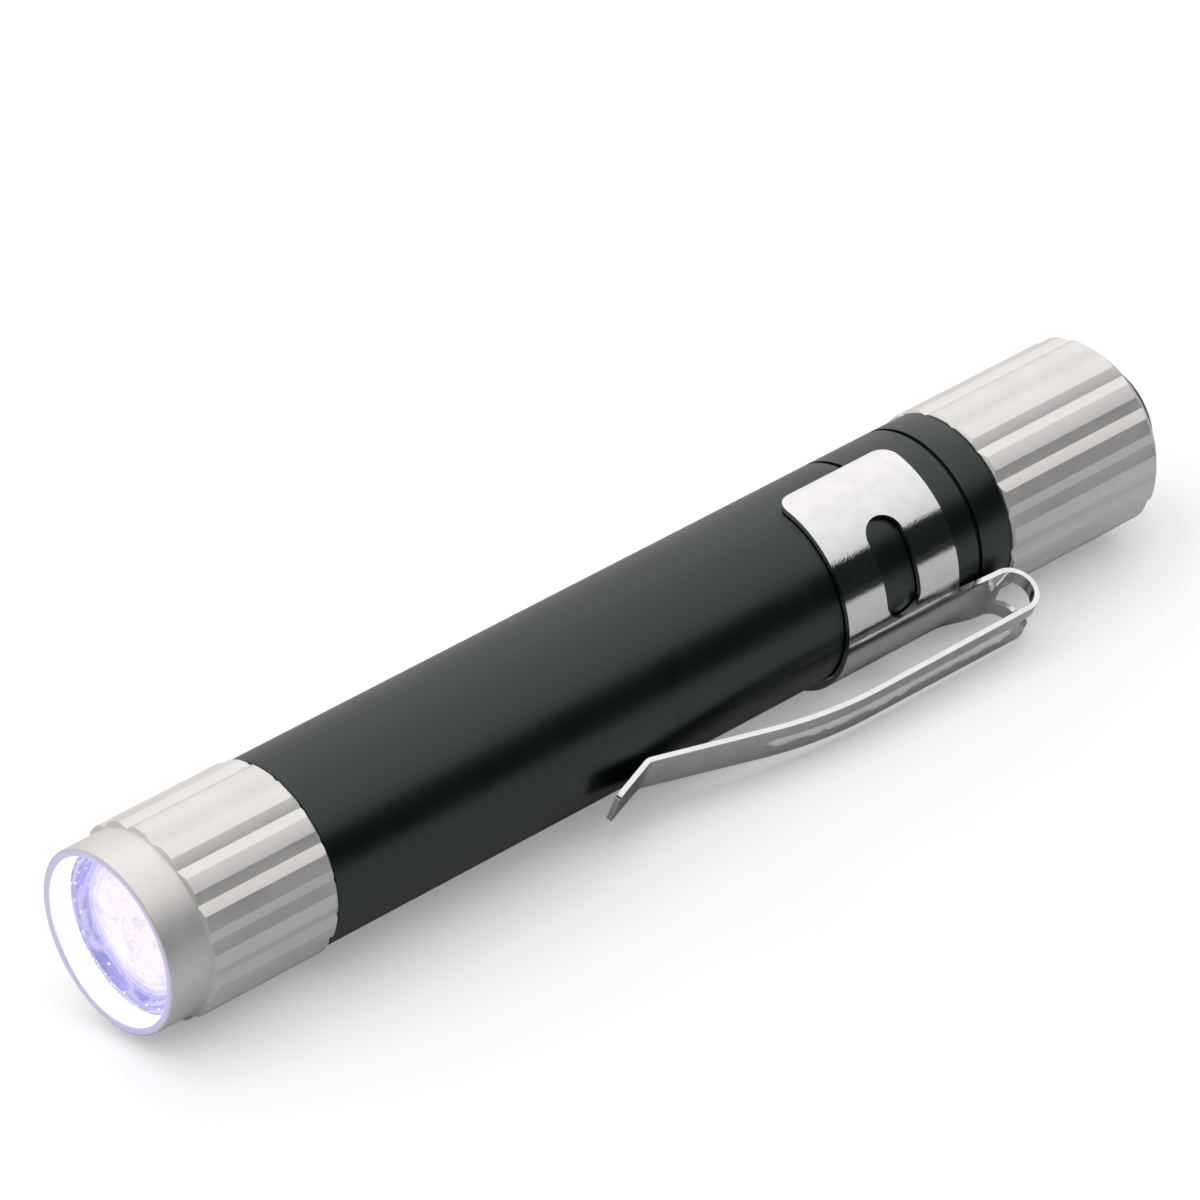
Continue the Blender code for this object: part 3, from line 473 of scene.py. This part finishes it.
switchSpring = {"wire": 0.18, "turns": 3.0, "radii": (2.3, 1.0), "steps": 96, "pressed": 0.08}


def makeSwitchSpring(p):
    # a conical coil of wire: a small circle carried along the spiral
    wireRadius = 0.5 * p["wire"]
    low, high = alongPen("switch_spring", 0) + wireRadius, alongPen("switch_spring", 1) - wireRadius
    upright = Matrix.Rotation(math.radians(90), 4, 'X')
    shape = bmesh.new()
    before = None
    for step in range(p["steps"] + 1):
        share = step / p["steps"]
        radius = p["radii"][0] + share * (p["radii"][1] - p["radii"][0])
        ring = bmesh.ops.create_circle(shape, cap_ends=share in (0.0, 1.0), segments=8,
                                       radius=wireRadius)["verts"]
        turned = Matrix.Rotation(math.radians(360) * p["turns"] * share, 4, 'Z')
        moved = Matrix.Translation((radius, 0, low + share * (high - low)))
        bmesh.ops.transform(shape, matrix=turned @ moved @ upright, verts=ring)
        edges = [edge for edge in shape.edges if all(v in ring for v in edge.verts)]
        if before:
            bmesh.ops.bridge_loops(shape, edges=before + edges)
        before = edges
    bmesh.ops.recalc_face_normals(shape, faces=shape.faces)
    piece = finishPiece(shape, "switchSpring", penFrame, [drawnWire], 60)
    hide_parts("switch_spring")
    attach(piece, "cap")
    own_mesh(piece)


lens = {"edge": 6.1, "flat": 5.15, "crown": 0.55, "height": 1.25, "ripple": 0.02, "ringInner": 5.3,
        "ringOuter": 6.1, "ringHeight": 0.7}


def makeLens(p):
    # pebbled lens, its crown towards the front, and the clear ring that holds it
    start, end = alongPen("lens", 0), alongPen("lens", 1)
    ringStart = alongPen("lens_ring", 0)
    back = end - p["height"]
    shape = turnedProfile([(0.0, end), (p["edge"], end), (p["edge"], back), (p["flat"], back), (0.0, start)],
                          {0.1: (2,)})
    refineProfile(shape, start, back, 24)
    for point in shape.verts:   # the slope from the edge to the middle is rounded into a crown
        if point.co.z < back and point.co.x < p["flat"]:
            share = point.co.x / p["flat"]
            point.co.z = back - (back - start) * math.sqrt(1.0 - share * share)
    spinProfile(shape, 144)
    front = finishPiece(shape, "lampLens", penFrame, [litLens], 40)
    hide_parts("lens")
    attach(front, "pen")
    corners = [(p["ringInner"], ringStart + p["ringHeight"]), (p["ringOuter"], ringStart + p["ringHeight"]),
               (p["ringOuter"], ringStart), (p["ringInner"] + 0.1, ringStart)]
    shape = turnedProfile(corners, {0.15: (2, 3)})
    spinProfile(shape, 144)
    ring = finishPiece(shape, "lampRing", penFrame, [litRing], 40)
    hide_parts("lens_ring")
    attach(ring, "pen")


pocketClip = {"thickness": 0.38, "radius": 7.325, "wrap": 115.6, "bandLength": 10.5, "corner": 1.3,
              "upperFillet": 0.4, "lowerFillet": 1.5, "rootWidth": 3.7, "tipWidth": 3.2, "tipCorner": 0.6,
              "flare": 1.35, "flareRun": 1.6, "flareCorner": 0.8, "slotNear": 18.6, "slotFar": 78.6,
              "slotWidth": 3.2,
              # the slot through the turn, across the strip and along it from the turn's middle
              "turnSlot": [(-0.7, -1.9), (2.0, -1.9), (2.0, 0.0), (0.2, 3.1), (-0.7, 3.1)],
              "turnSlotCorner": 0.4, "edgeRound": 0.07, "step": 0.25, "bendStep": 0.14, "armColumn": 0.12,
              "bandColumn": 0.35,
              # the strip's corners along the pen and off the barrel, with their bend radii
              "line": [(60.0, 0.0, 0.0), (76.15, 0.0, 1.71), (76.15, 3.42, 1.71), (55.5, 3.42, 40.0),
                       (41.4, 0.0, 0.9), (37.6, 1.3, 0.0)],
              "rib": {"start": 73.2, "end": 51.0, "halfWidth": 0.34, "height": 0.26, "crest": 0.3,
                      "rough": 0.09, "roughWidth": 0.2, "roughLength": 0.5},
              "bendStart": (74.4, 9.02), "bendSpan": (-0.099, 0.990)}


def stripLine(corners):
    # the strip's middle line as runs: (length, bend radius, angle), an angle of 0 for a straight run
    runs, carried = [], 0.0
    points = [Vector((place, off)) for place, off, bend in corners]
    for index in range(1, len(points)):
        straight = (points[index] - points[index - 1]).length - carried
        carried = 0.0
        if index < len(points) - 1:
            before = points[index] - points[index - 1]
            after = points[index + 1] - points[index]
            angle = -before.angle_signed(after)   # anticlockwise is positive
            radius = corners[index][2]
            carried = radius * math.tan(0.5 * abs(angle))
            runs += [(straight - carried, 0.0, 0.0), (radius * abs(angle), radius, angle)]
        else:
            runs.append((straight, 0.0, 0.0))
    return runs


def alongStrip(runs, start, distance):
    # place along the pen, height off the barrel and direction at a distance along the strip
    here, heading = Vector(start), 0.0
    for length, radius, angle in runs:
        step = min(distance, length)
        turned = angle * step / length if angle else 0.0
        chord = 2 * radius * math.sin(0.5 * abs(turned)) if angle else step
        here = here + chord * Vector((math.cos(heading + 0.5 * turned), math.sin(heading + 0.5 * turned)))
        heading += turned
        distance -= step
        if distance <= 1e-9:
            break
    return here, heading


def clipBlank(p, runs):
    # the flat blank before it is bent: x across, y along the strip, with its slots
    total = sum(run[0] for run in runs)
    turn = sum(run[0] for run in runs[:2])
    halfBand, band = math.radians(p["wrap"]) * p["radius"], p["bandLength"]
    halfRoot, halfTip = 0.5 * p["rootWidth"], 0.5 * p["tipWidth"]
    flareEdge = halfRoot + p["flare"]
    shape = bmesh.new()
    corners = [(-halfBand, 0), (halfBand, 0), (halfBand, band), (flareEdge, band), (flareEdge, turn),
               (halfRoot, turn + p["flareRun"]), (halfRoot, total), (-halfRoot, total), (-halfRoot, turn),
               (-halfRoot, band), (-halfBand, band)]
    slot = [(x, turn + y) for x, y in p["turnSlot"]]
    for outline, rounding in ((corners, ((p["corner"], (0, 1, 2, 10)), (p["lowerFillet"], (3,)),
                                         (p["upperFillet"], (9,)), (p["flareCorner"], (4, 5)),
                                         (p["tipCorner"], (6, 7)))),
                              (slot, ((p["turnSlotCorner"], (0, 1, 3, 4)),))):
        points = [shape.verts.new((x, y, 0)) for x, y in outline]
        for pair in zip(points, points[1:] + points[:1]):
            shape.edges.new(pair)
        for size, picks in rounding:
            bmesh.ops.bevel(shape, geom=[points[i] for i in picks], offset=size, offset_type='OFFSET',
                            segments=10, profile=0.5, affect='VERTICES', material=-1, clamp_overlap=False)
    middle = 0.5 * band
    near, far = (math.radians(p[key]) * p["radius"] for key in ("slotNear", "slotFar"))
    for side in (-1, 1):
        slot = bmesh.ops.create_circle(shape, segments=40, radius=0.5 * p["slotWidth"])["verts"]
        bmesh.ops.translate(shape, verts=slot, vec=(side * (near + 0.5 * p["slotWidth"]), middle, 0))
        outerHalf = [v for v in slot if side * v.co.x > near + 0.5 * p["slotWidth"] + 1e-4]
        bmesh.ops.translate(shape, verts=outerHalf, vec=(side * (far - near - p["slotWidth"]), 0, 0))
    bmesh.ops.triangle_fill(shape, use_beauty=True, use_dissolve=False, edges=shape.edges[:])
    upper, lower = p["turnSlot"][0][0], p["turnSlot"][1][0]
    ribEdge = p["rib"]["halfWidth"]
    columns = spaced([-halfRoot, upper, -ribEdge, 0.0, ribEdge, halfRoot, lower], p["armColumn"])
    for low, high in ((lower, flareEdge), (-halfBand, -halfRoot), (flareEdge, halfBand)):
        columns += spaced([low, high], p["bandColumn"])
    rows = [band] + [turn + y for x, y in p["turnSlot"]] + [turn + p["flareRun"]]
    reached = 0.0
    for length, radius, angle in runs:   # rows close together where the strip bends sharply
        inside = [row for row in rows if reached + 0.02 < row < reached + length - 0.02]
        stops = sorted(set([reached] + inside + [reached + length]))
        for row in spaced(stops, p["bendStep"] if 0 < radius < 5 else p["step"]):
            cutBlank(shape, (0, row, 0), (0, 1, 0))
        reached += length
    for column in columns:
        cutBlank(shape, (column, 0, 0), (1, 0, 0))
    for point in shape.verts:   # the arm tapers, and its columns with it
        if point.co.y > turn:
            point.co.x *= 1 - (1 - halfTip / halfRoot) * (point.co.y - turn) / (total - turn)
    return shape


def spaced(stops, step):
    # evenly spaced places between each pair of stops
    places = []
    for low, high in zip(stops, stops[1:]):
        count = max(1, math.ceil((high - low) / step - 0.01))
        places += [low + (high - low) * k / count for k in range(count)]
    return places


def cutBlank(shape, place, normal):
    bmesh.ops.bisect_plane(shape, geom=shape.verts[:] + shape.edges[:] + shape.faces[:], dist=1e-3,
                           plane_co=place, plane_no=normal)


def ribHeight(rib, across, place):
    # a pressed rib: a narrow crest, a little rough from the press, with straight flanks and rounded ends
    inset = max(rib["end"] + rib["halfWidth"] - place, place - rib["start"] + rib["halfWidth"], 0.0)
    away = math.hypot(across, inset) / rib["halfWidth"]
    crest = rib["crest"]
    share = 1 - (math.hypot(away, crest) - crest) / (math.hypot(1, crest) - crest)
    rough = noise.noise(Vector((across / rib["roughWidth"], place / rib["roughLength"], 3.7)))
    return max(0.0, rib["height"] * share + rib["rough"] * rough * max(0.0, 1 - 2 * away))


def makePocketClip(p):
    # one strip of spring steel, bent: the band round the barrel, the turn and the arm
    runs = stripLine(p["line"])
    turn = sum(run[0] for run in runs[:4])
    shape = clipBlank(p, runs)
    for point in shape.verts:
        across, along = point.co.x, point.co.y
        here, heading = alongStrip(runs, p["line"][0][:2], along)
        pressed = -ribHeight(p["rib"], across, here.x) if along > turn else 0.0
        skin = p["radius"] + pressed * math.cos(heading)
        angle = across / p["radius"]
        share = min(max((along - p["bandLength"]) / (runs[0][0] - p["bandLength"]), 0.0), 1.0)
        flat = share * share * (3 - 2 * share)   # 0 on the round band, 1 from the turn on
        out, side = skin * math.cos(angle), skin * math.sin(angle)
        point.co = (here.y + out + flat * (skin - out), side + flat * (across - side),
                    here.x - pressed * math.sin(heading))
    bmesh.ops.recalc_face_normals(shape, faces=shape.faces)
    piece = finishPiece(shape, "pocketClip", clipFrame, [brightNickel], 180)
    wall = piece.modifiers.new("thickness", 'SOLIDIFY')
    wall.thickness, wall.offset, wall.use_even_offset = p["thickness"] / 1000, 0.0, True
    edge = piece.modifiers.new("edge", 'BEVEL')
    edge.width, edge.segments, edge.limit_method = p["edgeRound"] / 1000, 3, 'ANGLE'
    edge.angle_limit, edge.harden_normals = math.radians(50), True
    made = bpy.data.meshes.new_from_object(piece.evaluated_get(bpy.context.evaluated_depsgraph_get()))
    piece.modifiers.clear()
    piece.data = made
    made.name = "pocketClip"
    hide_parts("clip_band", "clip_arm")
    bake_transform(piece)


makeLampHead(lampHead)
makeLens(lens)
print("lamp head made")
makeBarrel(barrelTube)
makeSeal("frontSeal", "head_seal", barrelTube["front"] - barrelTube["sealPlace"], barrelTube)
makeSeal("rearSeal", "tail_seal", barrelTube["back"] + barrelTube["sealPlace"], barrelTube)
print("barrel made")
makeTailCap(tailCap)
makeTailButton(tailButton)
makeSwitchSpring(switchSpring)
print("tail cap made")
makePocketClip(pocketClip)
print("pocket clip made")

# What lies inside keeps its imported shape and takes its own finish
insidePieces = {"reflector": metallisedCup, "uv_led": litLens, "lamp_board": solderMask,
                "driver_housing": mouldedNylon, "driver_board": solderMask, "driver_chip": mouldedNylon,
                "driver_coil": sinteredFerrite, "contact_pin": turnedBrass, "battery_can": drawnCan,
                "battery_wrap": cellSleeve, "tail_spring": drawnWire, "retaining_ring": turnedBrass,
                "switch_housing": mouldedNylon, "switch_cover": mouldedNylon, "switch_contact": turnedBrass,
                "switch_plunger": mouldedAcetal}
for node, material in insidePieces.items():
    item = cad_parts[node]
    item.data.materials.clear()
    item.data.materials.append(material)
print("inside finished")

studio = {"floorRadius": 1.5, "floorColours": ("#EEF1F3", "#F1F4F6"), "floorLift": 0.28,
          # painted shade: the table's colour in reflections and bounced light, from dark in front to light
          # grey
          "shadedBounce": [(0.0, "#26292A"), (1.0, "#CFD1D2")],
          "paintedShadeReach": (-0.075, -0.052),   # how far in front of the pen the table is painted dark in reflections: painted shade for the tent's open front
          # the tent's colour over how high and how far back it is
          "tent": [(0.455, "#1C1F20"), (0.50, "#D6D3D2"), (0.60, "#E0DDDC"), (0.69, "#EAE7E6"),
                   (0.777, "#F1EEED"), (0.86, "#F9F5F4"), (1.0, "#FFFBF9")],
          "backLight": 0.9, "backFade": (0.5, 0.85, 0.66), "tentStrength": 1.15, "backdrop": "#F7F7F7",
          "lens": 240, "place": (-0.2992006, -0.3688809, 0.2888545), "turn": (59.8027, 4.7036, -41.3866)}


def makeStudio(p):
    # a pale table under a light tent, open low down in front and dimmer behind; in reflections and bounced
    # light the table is painted greyer, and painted dark in front where the tent opens: painted shade
    shape = bmesh.new()
    bmesh.ops.create_circle(shape, cap_ends=True, segments=96, radius=p["floorRadius"])
    bmesh.ops.translate(shape, verts=shape.verts, vec=(0, 0, cadBox[0][2] - 0.00002))
    material, tree = startMaterial("pale table top")
    place = addNode(tree, "ShaderNodeTexCoord").outputs["Object"]
    cloud = addNode(tree, "ShaderNodeTexNoise", {"Scale": 40.0, "Detail": 3.0}, {"Vector": place})
    tint = addNode(tree, "ShaderNodeValToRGB", links={"Fac": cloud.outputs["Fac"]},
                   stops=[(0.3, p["floorColours"][0]), (0.7, p["floorColours"][1])])
    seen = addNode(tree, "ShaderNodeLightPath").outputs["Is Camera Ray"]
    # painted shade: to all but camera rays the table is greyer, and dark in front of the pen
    forward = addNode(tree, "ShaderNodeSeparateXYZ", links={0: place}).outputs["Y"]
    dark, lit = p["paintedShadeReach"]
    near = addNode(tree, "ShaderNodeMapRange", {"From Min": dark, "From Max": lit}, {"Value": forward})
    shadedBounce = addNode(tree, "ShaderNodeValToRGB", links={"Fac": near.outputs["Result"]}, stops=p["shadedBounce"])
    top = addNode(tree, "ShaderNodeMix", {"data_type": 'RGBA'},
                  {0: seen, 6: shadedBounce.outputs["Color"], 7: tint.outputs["Color"]})
    lift = addNode(tree, "ShaderNodeMath", {"operation": 'MULTIPLY', 1: p["floorLift"]}, {0: seen})
    shader = addNode(tree, "ShaderNodeBsdfPrincipled", {"Roughness": 0.9, "Specular IOR Level": 0.1,
                                                        "Emission Color": linearColour("#FFFFFF")},
                     {"Base Color": top.outputs[2], "Emission Strength": lift.outputs[0]})
    endMaterial(tree, shader)
    floor = finishPiece(shape, "tableTop", Matrix.Identity(4), [material], 180)

    world = bpy.data.worlds.new("lightTent")
    bpy.context.scene.world = world
    world.use_nodes = True
    sky = world.node_tree
    sky.nodes.clear()
    direction = addNode(sky, "ShaderNodeTexCoord").outputs["Generated"]
    parts = addNode(sky, "ShaderNodeSeparateXYZ", links={0: direction})
    back = addNode(sky, "ShaderNodeMath", {"operation": 'MAXIMUM', 1: 0.0}, {0: parts.outputs["Y"]})
    reach = addNode(sky, "ShaderNodeMath", {"operation": 'MULTIPLY_ADD', 1: p["backLight"]},
                    {0: back.outputs[0], 2: parts.outputs["Z"]})
    tent = addNode(sky, "ShaderNodeValToRGB", links={"Fac": reach.outputs[0]}, stops=p["tent"])
    seen = addNode(sky, "ShaderNodeLightPath").outputs["Is Camera Ray"]
    shown = addNode(sky, "ShaderNodeMix", {"data_type": 'RGBA', 7: linearColour(p["backdrop"])},
                    {0: seen, 6: tent.outputs["Color"]})
    strength = p["tentStrength"]
    low, high, least = p["backFade"]
    fade = addNode(sky, "ShaderNodeMapRange", {"From Min": low, "From Max": high, "To Min": strength,
                                               "To Max": strength * least}, {"Value": parts.outputs["Y"]})
    level = addNode(sky, "ShaderNodeMix", {3: strength}, {0: seen, 2: fade.outputs["Result"]})
    glow = addNode(sky, "ShaderNodeBackground", links={"Color": shown.outputs[2],
                                                       "Strength": level.outputs[0]})
    addNode(sky, "ShaderNodeOutputWorld", links={"Surface": glow.outputs[0]})

    camera = bpy.data.objects.new("camera", bpy.data.cameras.new("camera"))
    bpy.context.scene.collection.objects.link(camera)
    camera.location = p["place"]
    camera.rotation_euler = [math.radians(angle) for angle in p["turn"]]
    camera.data.lens, camera.data.sensor_width = p["lens"], 36
    camera.data.clip_start, camera.data.clip_end = 0.01, 10
    bpy.context.scene.camera = camera
    bpy.context.scene.view_settings.view_transform = 'Standard'


makeStudio(studio)
print("studio made")
